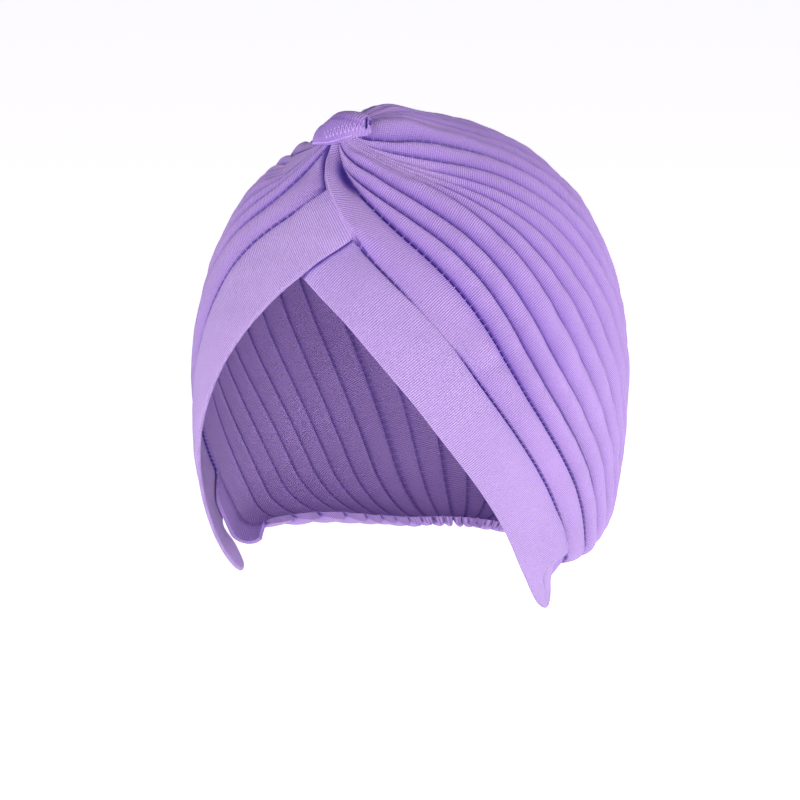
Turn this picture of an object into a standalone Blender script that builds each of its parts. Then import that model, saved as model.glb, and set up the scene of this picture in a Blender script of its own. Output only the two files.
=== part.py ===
"""Knotted turban: a pull-on jersey turban with two pleated side panels, two crossed front
bands and a short strip that wraps the gathers at the top of the front.

Metres, +Z up. The front is -Y and the left side is +X. The origin is the highest point of the
hollow, on the inside of the cloth. Every place on the cloth is given by its reach, the angle at
the hollow's centre between it and the knot, and its bearing round the knot: 0 runs down the
front, 90 down the left side and 180 down the back.
"""
import math
from collections import namedtuple

import bmesh
import bpy
import numpy as np

MM = 0.001

# The hollow, measured from its centre
HOLLOW_HALF_BREADTH = 71.4 * MM
HOLLOW_FRONT = 82.0 * MM
HOLLOW_BACK = 95.5 * MM
HOLLOW_ABOVE = 96.5 * MM
HOLLOW_BELOW = 122.0 * MM
PLAN_ROUNDNESS = 2.1
HEIGHT_ROUNDNESS = 2.25

# The knot, where every pleat starts
KNOT_TILT = 24.6
RIM_REACH = 3.4
PEAK_RISE = 12.0 * MM
PEAK_WIDTH = 24.0 * MM
PEAK_FRONT = 24.0 * MM
PEAK_BACK = 44.0 * MM
GATHER_RISE = 4.0 * MM
GATHER_REACH = 5.0

# Cloth
WALL = 1.5 * MM
PLEAT_RISE = 2.4 * MM
PLEAT_SLOPE = 0.22
GATHER_FADE = 14.0
LAP_STEP = 1.8 * MM
LAP_RISE = 2.7 * MM
LAP_GAP = 0.5 * MM
GAP = 0.3 * MM

# Each seam: its bearing at the knot, its bearing low on the side,
# and how many degrees of reach it takes to swing from one towards the other
Seam = namedtuple("Seam", "near side fan")
LEFT_SEAMS = (
    Seam(-20, 60, 23),
    Seam(12, 65, 14),
    Seam(18, 72, 11),
    Seam(32, 80, 9),
    Seam(66, 90, 14),
    Seam(76, 99, 14),
    Seam(86, 108, 12),
    Seam(96, 117, 10),
    Seam(104, 125, 9),
    Seam(122, 133, 12),
    Seam(136, 142, 16),
    Seam(148, 151, 16),
    Seam(158, 160, 16),
    Seam(169, 170, 16),
    Seam(180, 180, 16),
)
RIGHT_FIRST_SEAM = Seam(-38, 59, 12.5)
RIGHT_SECOND_SEAM = Seam(24, 65, 14)

# Hem: its drop below the centre, the roll that turns it under, and where the roll grows
HEM_SIDE_DROP = 54.0 * MM
HEM_BACK_DROP = 66.0 * MM
HEM_SIDE_ROLL = 6.0 * MM
HEM_BACK_ROLL = 17.0 * MM
HEM_ROLL_TURN = 125.0
HEM_FRONT_BEARING = 66.5
HEM_BACK_BEARING = 130.0
HEM_FIRST_PLEAT = 1.5
HEM_LOWEST_REACH = 60.0
HEM_HIGHEST_REACH = 175.0
HEM_HALVINGS = 40
HEM_SAMPLES = 241
DRIFT_START = 55.0

# Rows of the mesh, as reach at the front edge
FRONT_ROWS = (RIM_REACH, 6, 9, 12.5, 18, 24, 31, 39, 48, 59, 71, 85, 99, 112)

# Columns of the mesh across one pleat, and how much of its height each has
PleatStep = namedtuple("PleatStep", "share rise")
PLEAT_STEPS = (
    PleatStep(0.0, 0.0),
    PleatStep(0.2, 0.62),
    PleatStep(0.52, 1.0),
    PleatStep(0.86, 0.85),
)

HEM_ROLL_STEPS = 3
SLOPE_STEP = 0.5
SHARP_FOLD = 50.0

# Front bands: reach and bearing along the free edge, paired with a row of the seam edge
BandRow = namedtuple("BandRow", "free_reach free_bearing seam_row")
LEFT_BAND = (
    BandRow(19, -8, 18),
    BandRow(24, -7, 24),
    BandRow(31, 4, 31),
    BandRow(39, 16.5, 39),
    BandRow(48, 25.5, 48),
    BandRow(59, 33, 59),
    BandRow(71, 39, 71),
    BandRow(85, 44.5, 85),
    BandRow(99, 49, 99),
    BandRow(111, 52, 110),
)
RIGHT_BAND = (
    BandRow(21.5, -22, 12.5),
    BandRow(24, -10, 18),
    BandRow(27.5, 2, 24),
    BandRow(33.5, 13, 31),
    BandRow(42, 24, 39),
    BandRow(51, 31.5, 48),
    BandRow(61, 37, 59),
    BandRow(73, 42, 71),
    BandRow(85, 46, 85),
    BandRow(99, 50, 99),
    BandRow(111, 52.5, 110),
)
# The tongue that hangs below a band's corner: its free edge in front and its back edge
TongueRow = namedtuple("TongueRow", "reach free_bearing back_bearing")
TONGUE = (
    TongueRow(117, 52.8, 61.0),
    TongueRow(121.5, 53.6, 60.0),
    TongueRow(125.5, 54.6, 59.2),
    TongueRow(127.0, 56.2, 58.0),
)
BAND_STEPS = 6

# Where the first pleat laps the bands, in reach, and where the right band steps over the left
LAP_FROM = 4.5
LAP_RUN = 6.0
LAP_TO = 24.0
LAP_FADE = 22.0
LAP_BEARING = 10.0
LAP_SLOPE = 18.0
MEAN_RADIUS = 92.0 * MM

# Strip over the knot
STRIP_HALF_LENGTH = 10.2 * MM
STRIP_HALF_WIDTH = 6.0 * MM
STRIP_MIDDLE = 3.2 * MM
STRIP_EDGE = 1.6 * MM
STRIP_SEAT = 2.4 * MM
STRIP_TAPER = 0.25
STRIP_SQUARENESS = 4
STRIP_SHIFT = -1.8 * MM
STRIP_STEPS_LONG = 12
STRIP_STEPS_WIDE = 6

# Colours, linear
PLEAT_COLOUR = (0.46, 0.31, 0.76)
BAND_COLOUR = (0.50, 0.34, 0.79)
KNOT_COLOUR = (0.40, 0.26, 0.68)
CLOTH_ROUGHNESS = 0.85

CENTRE = np.array([0.0, 0.0, -HOLLOW_ABOVE])


def clear_scene():
    """Remove whatever the open file holds."""
    for item in list(bpy.data.objects):
        bpy.data.objects.remove(item, do_unlink=True)


def jersey(name, colour, roughness):
    """Matt knitted cloth."""
    material = bpy.data.materials.new(name)
    material.use_nodes = True
    shader = material.node_tree.nodes["Principled BSDF"]
    shader.inputs["Base Color"].default_value = (*colour, 1.0)
    shader.inputs["Roughness"].default_value = roughness
    shader.inputs["Metallic"].default_value = 0.0
    return material


def smooth_step(value):
    """0 below 0, 1 above 1, and an S between."""
    value = np.clip(value, 0.0, 1.0)
    return value * value * (3.0 - 2.0 * value)


def direction(reach, bearing):
    """Unit vectors from the centre."""
    tilt = math.radians(KNOT_TILT)
    to_knot = np.array([0.0, -math.sin(tilt), math.cos(tilt)])
    to_front = np.array([0.0, -math.cos(tilt), -math.sin(tilt)])
    to_left = np.array([1.0, 0.0, 0.0])
    reach = np.radians(reach)[..., None]
    bearing = np.radians(bearing)[..., None]
    round_knot = np.cos(bearing) * to_front + np.sin(bearing) * to_left
    return np.cos(reach) * to_knot + np.sin(reach) * round_knot


def hollow_radius(way):
    """Distance from the centre to the wall of the hollow."""
    depth = np.where(way[..., 1] < 0.0, HOLLOW_FRONT, HOLLOW_BACK)
    height = np.where(way[..., 2] > 0.0, HOLLOW_ABOVE, HOLLOW_BELOW)
    across = np.abs(way[..., 0] / HOLLOW_HALF_BREADTH) ** PLAN_ROUNDNESS
    along = np.abs(way[..., 1] / depth) ** PLAN_ROUNDNESS
    plan = (across + along) ** (HEIGHT_ROUNDNESS / PLAN_ROUNDNESS)
    return (plan + np.abs(way[..., 2] / height) ** HEIGHT_ROUNDNESS) ** (-1.0 / HEIGHT_ROUNDNESS)


def peak(way, radius, reach):
    """How far the gathered cloth stands up round the knot."""
    knot_way = direction(np.array(0.0), np.array(0.0))
    knot = knot_way * hollow_radius(knot_way)
    offset = way * radius[..., None] - knot
    length = np.hypot(offset[..., 1], offset[..., 2])
    spread = np.where(offset[..., 1] > 0.0, PEAK_BACK, PEAK_FRONT)
    lift = PEAK_RISE * np.exp(-((offset[..., 0] / PEAK_WIDTH) ** 2) - (length / spread) ** 2)
    return lift + GATHER_RISE * np.exp(-((reach / GATHER_REACH) ** 2))


def cloth(reach, bearing, height):
    """Points at a height over the hollow, from reach and bearing in degrees."""
    reach, bearing, height = np.broadcast_arrays(
        np.asarray(reach, float), np.asarray(bearing, float), np.asarray(height, float))
    way = direction(reach, bearing)
    radius = hollow_radius(way)
    radius = radius + peak(way, radius, reach) + height
    return CENTRE + way * radius[..., None]


def hem_share(bearing):
    """0 at the hem's front corner and 1 at the back."""
    run = HEM_BACK_BEARING - HEM_FRONT_BEARING
    return smooth_step((np.asarray(bearing, float) - HEM_FRONT_BEARING) / run)


def hem_roll(bearing):
    """Radius with which the hem turns under."""
    return HEM_SIDE_ROLL + (HEM_BACK_ROLL - HEM_SIDE_ROLL) * hem_share(bearing)


def hem_reach(bearing):
    """Reach at which the hem starts to turn under."""
    bearing = np.asarray(bearing, float)
    drop = HEM_SIDE_DROP + (HEM_BACK_DROP - HEM_SIDE_DROP) * hem_share(bearing)
    level = CENTRE[2] - drop + hem_roll(bearing)
    low = np.full(bearing.shape, HEM_LOWEST_REACH)
    high = np.full(bearing.shape, HEM_HIGHEST_REACH)
    for _ in range(HEM_HALVINGS):
        middle = 0.5 * (low + high)
        above = cloth(middle, bearing, WALL)[..., 2] > level
        low = np.where(above, middle, low)
        high = np.where(above, high, middle)
    return 0.5 * (low + high)


def corner_reach():
    """Reach at which the front edge meets the hem."""
    return hem_reach(np.array([HEM_FRONT_BEARING]))[0]


def hem_bearings(count):
    """Bearings that share the hem evenly, with a broader first pleat."""
    fine = np.linspace(HEM_FRONT_BEARING, 180.0, HEM_SAMPLES)
    points = cloth(hem_reach(fine), fine, WALL)
    run = np.concatenate([[0.0], np.cumsum(np.linalg.norm(np.diff(points, axis=0), axis=1))])
    shares = np.concatenate([[0.0], np.cumsum([HEM_FIRST_PLEAT] + [1.0] * (count - 2))])
    return np.interp(shares / shares[-1] * run[-1], run, fine)


def seam_curve(row, reach):
    """Bearing of one seam before it drifts to its place on the hem."""
    swing = np.exp(-(np.asarray(reach, float) - RIM_REACH) / row.fan)
    return row.side - (row.side - row.near) * swing


def edge_curve(row, reach):
    """Bearing along the seam between a panel and its band."""
    hem = corner_reach()
    drift = HEM_FRONT_BEARING - seam_curve(row, hem)
    return seam_curve(row, reach) + drift * smooth_step((reach - DRIFT_START) / (hem - DRIFT_START))


def left_edge(reach):
    """Front edge of the left panel."""
    return edge_curve(LEFT_SEAMS[0], reach)


def right_edge(reach):
    """Front edge of the right panel, mirrored: beside the left panel, then along its own seam."""
    return np.maximum(-left_edge(reach), edge_curve(RIGHT_FIRST_SEAM, reach))


def degrees_for(length, reach):
    """Bearing that spans a length at this reach."""
    return np.degrees(length / (MEAN_RADIUS * np.sin(np.radians(reach))))


def front_reach(row):
    """Reach along the front edge of a named row, once the rows are fitted to the hem."""
    share = (np.asarray(row, float) - RIM_REACH) / (FRONT_ROWS[-1] - RIM_REACH)
    return RIM_REACH + share * (corner_reach() - RIM_REACH)


def panel_table(seams, edge):
    """Reach and bearing of every seam at every row of a panel."""
    hems = hem_bearings(len(seams))
    limits = hem_reach(hems)
    share = (np.array(FRONT_ROWS, float) - RIM_REACH) / (FRONT_ROWS[-1] - RIM_REACH)
    reaches = RIM_REACH + share * (limits[:, None] - RIM_REACH)
    bearings = [edge(reaches[0])]
    for row, reach, limit, hem in zip(seams[1:], reaches[1:], limits[1:], hems[1:]):
        core = seam_curve(row, reach)
        drift = smooth_step((reach - DRIFT_START) / (limit - DRIFT_START))
        bearings.append(core + (hem - core[-1]) * drift)
    bearings = np.array(bearings)
    bearings[0] += degrees_for(GAP / 2.0, reaches[0])
    bearings[-1] -= degrees_for(GAP / 2.0, reaches[-1])
    return reaches, bearings


def pleat_height(breadth, reach):
    """Height of a pleat that spans this much bearing."""
    width = np.radians(breadth) * MEAN_RADIUS * np.sin(np.radians(reach))
    return np.minimum(PLEAT_RISE, PLEAT_SLOPE * width) * smooth_step(reach / GATHER_FADE)


def lap_share(reach):
    """How much of its lift over the bands a panel's front edge has."""
    rise = smooth_step((reach - LAP_FROM) / LAP_RUN)
    return rise * (1.0 - smooth_step((reach - LAP_TO) / LAP_FADE))


def panel_surfaces(seams, edge, lap):
    """Outer and inner points of one panel: columns across the pleats, rows down to the hem."""
    reaches, bearings = panel_table(seams, edge)
    pleats = range(len(seams) - 1)
    columns = [(pleat, step.share, step.rise) for pleat in pleats for step in PLEAT_STEPS]
    columns.append((len(seams) - 2, 1.0, 0.0))
    outer, inner = [], []
    for number, (pleat, share, rise) in enumerate(columns):
        reach = reaches[pleat] * (1.0 - share) + reaches[pleat + 1] * share
        bearing = bearings[pleat] * (1.0 - share) + bearings[pleat + 1] * share
        crest = rise * pleat_height(bearings[pleat + 1] - bearings[pleat], reach)
        if number == 0:
            crest = lap * lap_share(reach)
        outer.append(roll_hem(reach, bearing, WALL + crest))
        inner.append(roll_hem(reach, bearing, np.zeros(len(reach))))
    return np.array(outer), np.array(inner)


def roll_hem(reach, bearing, height):
    """A column of cloth points, carried on round the roll at the hem."""
    body = cloth(reach, bearing, height)
    here = cloth(reach[-1], bearing[-1], 0.0)
    down = cloth(reach[-1] + SLOPE_STEP, bearing[-1], 0.0) - here
    side = cloth(reach[-1], bearing[-1] + SLOPE_STEP, 0.0) - here
    down /= np.linalg.norm(down)
    out = np.cross(side, down)
    out /= np.linalg.norm(out)
    out *= math.copysign(1.0, float(np.dot(out, here - CENTRE)))
    radius = float(hem_roll(bearing[-1]))
    arm = radius + height[-1]
    turns = np.radians(np.linspace(0.0, HEM_ROLL_TURN, HEM_ROLL_STEPS + 1)[1:])
    hub = here - out * radius
    rows = [hub + arm * (out * math.cos(turn) + down * math.sin(turn)) for turn in turns]
    return np.vstack([body, rows])


def band_surfaces(table, edge, end_edge, lap):
    """Outer and inner points of one front band: columns across it, rows along it."""
    free = [(row.free_reach, row.free_bearing) for row in table]
    free += [(row.reach, row.free_bearing) for row in TONGUE]
    seam_reach = front_reach([row.seam_row for row in table])
    seam_bearing = edge(seam_reach) - degrees_for(GAP / 2.0, seam_reach)
    seam = list(zip(seam_reach, seam_bearing))
    seam += [(row.reach, row.back_bearing) for row in TONGUE]
    free_way = direction(*np.array(free, float).T)
    seam_way = direction(*np.array(seam, float).T)
    outer, inner = [], []
    for share in np.linspace(0.0, 1.0, BAND_STEPS + 1):
        way = free_way * (1.0 - share) + seam_way * share
        reach, bearing = reach_and_bearing(way / np.linalg.norm(way, axis=1)[:, None])
        if end_edge is not None:
            bearing[0] = end_edge(reach[0]) + degrees_for(LAP_GAP, reach[0])
        lift = lap * (1.0 - smooth_step((bearing - LAP_BEARING) / LAP_SLOPE))
        outer.append(cloth(reach, bearing, lift + WALL))
        inner.append(cloth(reach, bearing, lift))
    return np.array(outer), np.array(inner)


def reach_and_bearing(way):
    """Reach and bearing of unit vectors."""
    to_knot = direction(np.array(0.0), np.array(0.0))
    to_front = direction(np.array(90.0), np.array(0.0))
    reach = np.degrees(np.arccos(np.clip(way @ to_knot, -1.0, 1.0)))
    return reach, np.degrees(np.arctan2(way[:, 0], way @ to_front))


def strip_surfaces():
    """Outer and inner points of the strip: columns from end to end, rows from back to front."""
    radius = float(np.linalg.norm(cloth(0.0, 0.0, 0.0) - CENTRE))
    long = np.linspace(-1.0, 1.0, STRIP_STEPS_LONG + 1)[:, None]
    wide = np.linspace(-1.0, 1.0, STRIP_STEPS_WIDE + 1)[None, :]
    across = STRIP_SHIFT + STRIP_HALF_LENGTH * long + 0.0 * wide
    ahead = STRIP_HALF_WIDTH * wide * np.sqrt(1.0 - STRIP_TAPER * long ** 2)
    reach = np.degrees(np.arctan2(np.hypot(across, ahead), radius))
    bearing = np.degrees(np.arctan2(across, ahead))
    crown = np.sqrt((1.0 - long ** STRIP_SQUARENESS) * (1.0 - wide ** STRIP_SQUARENESS))
    thick = STRIP_EDGE + (STRIP_MIDDLE - STRIP_EDGE) * crown
    return cloth(reach, bearing, STRIP_SEAT + thick), cloth(reach, bearing, STRIP_SEAT)


def shell(name, outer, inner, material):
    """A closed wall of cloth between two sets of points laid out alike."""
    columns, rows = outer.shape[:2]
    mesh = bmesh.new()
    bmesh.ops.create_grid(mesh, x_segments=columns - 1, y_segments=rows - 1, size=1.0)
    place = mesh.verts.layers.int.new("place")
    for vert in mesh.verts:
        column = round((vert.co.x + 1.0) / 2.0 * (columns - 1))
        row = round((vert.co.y + 1.0) / 2.0 * (rows - 1))
        vert[place] = column * rows + row
    under = list(mesh.verts)
    grown = bmesh.ops.extrude_face_region(mesh, geom=list(mesh.faces), use_keep_orig=True)
    over = [item for item in grown["geom"] if isinstance(item, bmesh.types.BMVert)]
    for vert in under:
        vert.co = inner.reshape(-1, 3)[vert[place]]
    for vert in over:
        vert.co = outer.reshape(-1, 3)[vert[place]]
    bmesh.ops.recalc_face_normals(mesh, faces=list(mesh.faces))
    if mesh.calc_volume(signed=True) < 0.0:
        bmesh.ops.reverse_faces(mesh, faces=list(mesh.faces))
    bmesh.ops.triangulate(mesh, faces=list(mesh.faces))
    data = bpy.data.meshes.new(name)
    mesh.to_mesh(data)
    mesh.free()
    data.shade_smooth()
    data.set_sharp_from_angle(angle=math.radians(SHARP_FOLD))
    data.materials.append(material)
    item = bpy.data.objects.new(name, data)
    bpy.context.scene.collection.objects.link(item)
    return item


def mirrored(points):
    """The same points on the other side."""
    return points * np.array([-1.0, 1.0, 1.0])


def build():
    """Model the turban."""
    clear_scene()
    pleated = jersey("pleated_jersey", PLEAT_COLOUR, CLOTH_ROUGHNESS)
    smooth = jersey("band_jersey", BAND_COLOUR, CLOTH_ROUGHNESS)
    folded = jersey("knot_jersey", KNOT_COLOUR, CLOTH_ROUGHNESS)
    right_seams = (RIGHT_FIRST_SEAM, RIGHT_SECOND_SEAM) + LEFT_SEAMS[2:]

    outer, inner = panel_surfaces(LEFT_SEAMS, left_edge, LAP_RISE)
    shell("left_panel", outer, inner, pleated)
    outer, inner = panel_surfaces(right_seams, right_edge, 0.0)
    shell("right_panel", mirrored(outer), mirrored(inner), pleated)
    outer, inner = band_surfaces(LEFT_BAND, left_edge, None, 0.0)
    shell("left_band", outer, inner, smooth)
    outer, inner = band_surfaces(RIGHT_BAND, right_edge, lambda reach: -left_edge(reach), LAP_STEP)
    shell("right_band", mirrored(outer), mirrored(inner), smooth)
    outer, inner = strip_surfaces()
    shell("knot_strip", outer, inner, folded)


build()
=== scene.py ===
"""Knotted turban: pleated jersey panels, crossed front bands, a strip over the knot, their
stitching, and a plain studio. Metres, +Z up; the front is -Y and the left side is +X.

Places on the cloth are given by reach, the angle at the hollow's centre between a place and the
knot, and bearing round the knot: 0 runs down the front, 90 down the left side, 180 down the back.
"""

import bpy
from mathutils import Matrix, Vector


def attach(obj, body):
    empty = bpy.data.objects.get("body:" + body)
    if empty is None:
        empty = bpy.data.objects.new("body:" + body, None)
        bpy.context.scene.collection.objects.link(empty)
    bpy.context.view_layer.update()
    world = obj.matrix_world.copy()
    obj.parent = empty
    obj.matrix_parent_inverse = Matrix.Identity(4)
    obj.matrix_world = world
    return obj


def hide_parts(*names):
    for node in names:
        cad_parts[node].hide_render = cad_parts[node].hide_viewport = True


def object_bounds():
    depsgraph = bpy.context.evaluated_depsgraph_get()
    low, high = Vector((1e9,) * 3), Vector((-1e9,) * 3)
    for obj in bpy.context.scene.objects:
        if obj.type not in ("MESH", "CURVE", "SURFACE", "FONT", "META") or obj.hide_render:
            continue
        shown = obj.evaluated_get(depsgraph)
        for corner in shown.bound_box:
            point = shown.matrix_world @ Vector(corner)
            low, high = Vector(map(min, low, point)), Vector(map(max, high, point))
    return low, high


bl_info = {
    "name": "Knotted Turban",
    "version": (1, 0, 0),
    "blender": (4, 5, 0),
    "location": "3D View > Sidebar > Turban",
    "description": "Pull-on jersey turban with stitched pleats, crossed bands and a knot",
    "category": "Add Mesh",
}

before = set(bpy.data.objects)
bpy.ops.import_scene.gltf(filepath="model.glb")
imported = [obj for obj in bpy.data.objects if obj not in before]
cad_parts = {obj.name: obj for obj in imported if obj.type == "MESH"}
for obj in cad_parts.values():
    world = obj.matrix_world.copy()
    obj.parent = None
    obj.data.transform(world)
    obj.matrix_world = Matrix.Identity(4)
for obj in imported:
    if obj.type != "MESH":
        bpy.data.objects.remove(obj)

import math
from collections import namedtuple

import bmesh
import bpy
import numpy as np
from bpy.props import FloatProperty, FloatVectorProperty, PointerProperty
from mathutils import Matrix, Vector

CAD_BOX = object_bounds()
MM = 0.001


def table(kind, *rows):
    """Rows of numbers with a name for each column."""
    return tuple(kind(*row) for row in rows)


# Each seam of a panel: bearing at the knot, bearing low on the side, degrees of reach in which it
# swings over, the reach at which its fold opens, and how wide it gapes
Seam = namedtuple("Seam", "near side fan opens gape")
LEFT_SEAMS = table(
    Seam,
    (-20, 60, 23, 0, 0.9), (4, 65.5, 15, 0, 1.05), (-6, 72, 10.3, 6, 0.9), (8, 80, 8.5, 0, 0.9),
    (30, 90, 6.5, 14, 0.9), (48, 99, 9, 17, 0.9), (54, 108, 11, 20, 0.8), (57, 117, 12, 15, 0.8),
    (60, 125, 10.5, 4, 1.0), (72, 133, 7.4, 0, 1.7), (150, 142, 12, 20, 0.8),
    (154, 151, 14, 3, 1.2), (162, 160, 16, 12, 0.9), (171, 170, 16, 10, 0.9),
    (180, 180, 16, 2, 1.6))
RIGHT_SEAMS = table(
    Seam,
    (-84, 51, 8.25, 0, 1.3), (26, 72, 17, 0, 1.1), (47, 77, 16, 0, 1.0),
    (58, 84, 14, 6, 0.9)) + LEFT_SEAMS[4:]

# How far the fold along a panel's front edge is open, from the knot down
EdgeOpening = namedtuple("EdgeOpening", "reach share")
LEFT_EDGE_OPENING = table(
    EdgeOpening,
    (21, 0.0), (23, 0.85), (33, 0.75), (39, 0.2), (43, 0.0), (48, 0.0), (53, 0.45), (60, 1.0))
RIGHT_EDGE_OPENING = table(EdgeOpening, (3.5, 0.5), (7, 1.0))

# Where the knot's rim lies, and how the gathered cloth stands up round it
RIM_REACH = 3.4
FIRST_REACH = 2.5
PEAK_RISE = 12.0 * MM
PEAK_WIDTH = 24.0 * MM
PEAK_FRONT = 24.0 * MM
PEAK_BACK = 44.0 * MM
GATHER_RISE = 4.0 * MM
GATHER_REACH = 5.0
PLAN_ROUNDNESS = 2.1
HEIGHT_ROUNDNESS = 2.25
MEAN_RADIUS = 92.0 * MM

# Painted shadow: a dark line along the left panel's front edge, on the right panel beside it
BENEATH_TO = 13.0
BENEATH_FADE = 2.0
BENEATH_WIDTH = 2.5 * MM

# Hem: drop below the centre, the roll that turns it under, and where the roll grows
HEM_SIDE_DROP = 57.0 * MM
HEM_BACK_DROP = 66.0 * MM
HEM_SIDE_ROLL = 6.0 * MM
HEM_BACK_ROLL = 22.0 * MM
HEM_SIDE_TURN = 125.0
HEM_BACK_TURN = 102.0
HEM_FRONT_BEARING = 67.8
HEM_BACK_BEARING = 130.0
HEM_ROLL_BEARING = 108.0
HEM_FIRST_PLEAT = 1.5
HEM_LOWEST_REACH = 60.0
HEM_HIGHEST_REACH = 175.0
HEM_HALVINGS = 40
HEM_SAMPLES = 241
DRIFT_START = 55.0
SEAM_APART = 1.5
LAST_ROW = 112.0
SLOPE_STEP = 0.5

# Pleats: the section of a roll and its height, flatter in soft places, and where a fold is closed
CREST_AT = 0.62
PLEAT_SLOPE = 0.24
GATHER_SLOPE = 0.36
GATHER_FADE = 16.0
FIRST_RISE = 0.55
TUCKED_CREST = 0.1
TUCKED_RUN = 3.5
FLAT_REACH = 18.0
SOFT_REACH = 42.0
SOFT_RUN = 13.0
RIGHT_SOFTNESS = 0.7
FILL_LEVEL = 0.85
FILL_RUN = 0.35
BAND_LEVEL = 0.6
KNOT_UNFILLED = 0.6
KNOT_UNFILLED_REACH = 22.0
OPENING_RUN = 5.0
FULL_PLEAT = 7.0 * MM
NARROWEST_PLEAT = 0.3 * MM
PLEAT_WAVES = 0.14
THINNEST = 0.9 * MM

# Seams between the pleats: a narrow valley, wider low down, and a ridge inside
SEAM_DEPTH = 1.15 * MM
SEAM_HALF_WIDTH = 0.5 * MM
SEAM_SPREAD = 1.5
SEAM_RIDGE = 0.5 * MM
LOW_GAPE = 0.4
LOW_FROM = 60.0
LOW_RUN = 35.0

# Shade beside the seams, and how much fainter it is low down and on the inside
RISE_SHADE = 0.25
DROP_SHADE = 0.08
KNOT_DROP_SHADE = 0.05
FIRST_SHADE = 0.45
VALLEY_SHADE = 0.1
VALLEY_REACH = 30.0
LOW_FADE = 0.6
INSIDE_FOLD = 0.4

# Columns and rows of a panel, the roll at its hem, and its cloth that runs on under the band
SEAM_STEPS = (0.0, 0.32 * MM, 0.75 * MM, 1.5 * MM)
CREST_COLUMNS = 5
PANEL_ROWS = 216
ROWS_CLOSER = 1.25
GRAIN_WINDOW = 30
ROLL_ROWS = 22
ROLL_EASE = math.radians(60.0)
FLANGE = 0.9 * MM
FLANGE_DEPTH = 0.25 * MM
FLANGE_COLUMNS = 4
CROSSING_FLANGE = 2.4 * MM
CROSSING_REACH = 12.8
CROSSING_REACH_RUN = 2.6

# Fuller and slacker places of each panel, and the pocket between the left one's first pleats
Gather = namedtuple("Gather", "reach reach_run bearing bearing_run rise")
BACK_GATHER = Gather(12.5, 8.0, 174, 11, 2.2 * MM)
LEFT_GATHERS = table(
    Gather, BACK_GATHER,
    (12.0, 7.0, 154, 9, 1.4 * MM), (10.0, 6.0, 134, 15, 2.6 * MM), (9.0, 4.0, 50, 10, 1.0 * MM),
    (58.0, 2.2, 59, 4, -0.8 * MM))
RIGHT_GATHERS = table(
    Gather, BACK_GATHER,
    (12.0, 8.0, 115, 45, -3.6 * MM), (26.0, 11.0, 88, 26, 1.6 * MM))
# The pocket is dented, with painted shade and a painted dark core, as deep shade
POCKET_REACH = 9.2
POCKET_RUN = 3.8
POCKET_SPREAD = 0.36 * MM
POCKET_RISE = -2.6 * MM
POCKET_DARK = 1.6
POCKET_DARK_FROM = 0.3
CROWN_LINE = Gather(11.0, 6.0, 180, 3.5, -1.0 * MM)

# Front corner of a panel's hem, which runs on under the band
CORNER_FROM = 103.0
CORNER_RUN = 9.0
CORNER_WIDTH = 9.5 * MM
CORNER_LIFT = 1.9 * MM
CORNER_LIFT_TO = 117.5
CORNER_LIFT_FADE = 6.0
CORNER_LIFT_BEARING = 54.0
CORNER_LIFT_RUN = 9.0

# Where the first pleat laps the bands, in reach, and where the right band steps over the left
LAP_FROM = 4.5
LAP_RUN = 6.0
LAP_TO = 20.0
LAP_FADE = 8.0
LAP_RISE = 4.0 * MM
LAP_STEP = 1.6 * MM
LAP_BEARING = 10.0
LAP_SLOPE = 18.0
LAP_ACROSS = 0.85
TUCK_UNDER = 4.0 * MM
SEAM_GAP = 0.1 * MM
EDGE_ROUND = 0.9 * MM

# Front bands: reach and bearing along the free edge, and the row of the seam edge beside it
BandRow = namedtuple("BandRow", "free_reach free_bearing seam_row")
LEFT_BAND = table(
    BandRow,
    (25.5, -12.5, 18), (28, -6.5, 24), (32.5, 4.9, 31), (39, 16.2, 39), (48, 25.2, 48),
    (59, 32.8, 59), (71, 38.5, 71), (85, 44, 85), (99, 48.1, 99), (111, 50.4, 110))
RIGHT_BAND = table(
    BandRow,
    (19.6, -31, 9.8), (21.7, -21.5, 12.5), (24.3, -10, 18), (27.5, 0, 24), (33.5, 11.3, 31),
    (42, 22, 39), (51, 29.2, 48), (61, 34.7, 59), (73, 40.2, 71), (85, 44.5, 85), (99, 48.4, 99),
    (111, 50.6, 110))
TongueRow = namedtuple("TongueRow", "free_reach free_bearing back_reach back_bearing")
TONGUE = table(
    TongueRow,
    (114, 51.1, 115.9, 67.7), (116.5, 51.7, 116.4, 64.1), (119, 52.3, 117.3, 61.2),
    (122, 53.2, 120.9, 60.4), (125, 54.4, 124.8, 60.2), (127.3, 55.9, 127.2, 59.6),
    (128.4, 57.2, 128.4, 58.6))
BAND_CROWN = 0.9 * MM
BAND_CROWN_POWER = 0.8
BAND_WAVES = 0.22 * MM
BAND_WAVES_RUN = 4.0 * MM
BAND_SINK = 0.8 * MM
BAND_SINK_RUN = 1.6 * MM
# Painted shade by each band's seam, and painted shadow below the right band's free edge
BAND_SHADE = 0.5
CROSSING_SHADE = 0.85
CROSSING_RUN = 1.3 * MM
CROSSING_LINE = 0.8 * MM
CROSSING_DUSK = 0.16
CROSSING_DUSK_RUN = 16.0 * MM
BAND_SHADE_RUN = 2.0 * MM
BAND_ROWS_BETWEEN = 22
BAND_COLUMNS = 26
BAND_EDGE_STEPS = (0.0, 0.1 * MM, 0.3 * MM, 0.65 * MM, 1.2 * MM)
BAND_FULL = 4.0 * BAND_EDGE_STEPS[-1]

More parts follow.
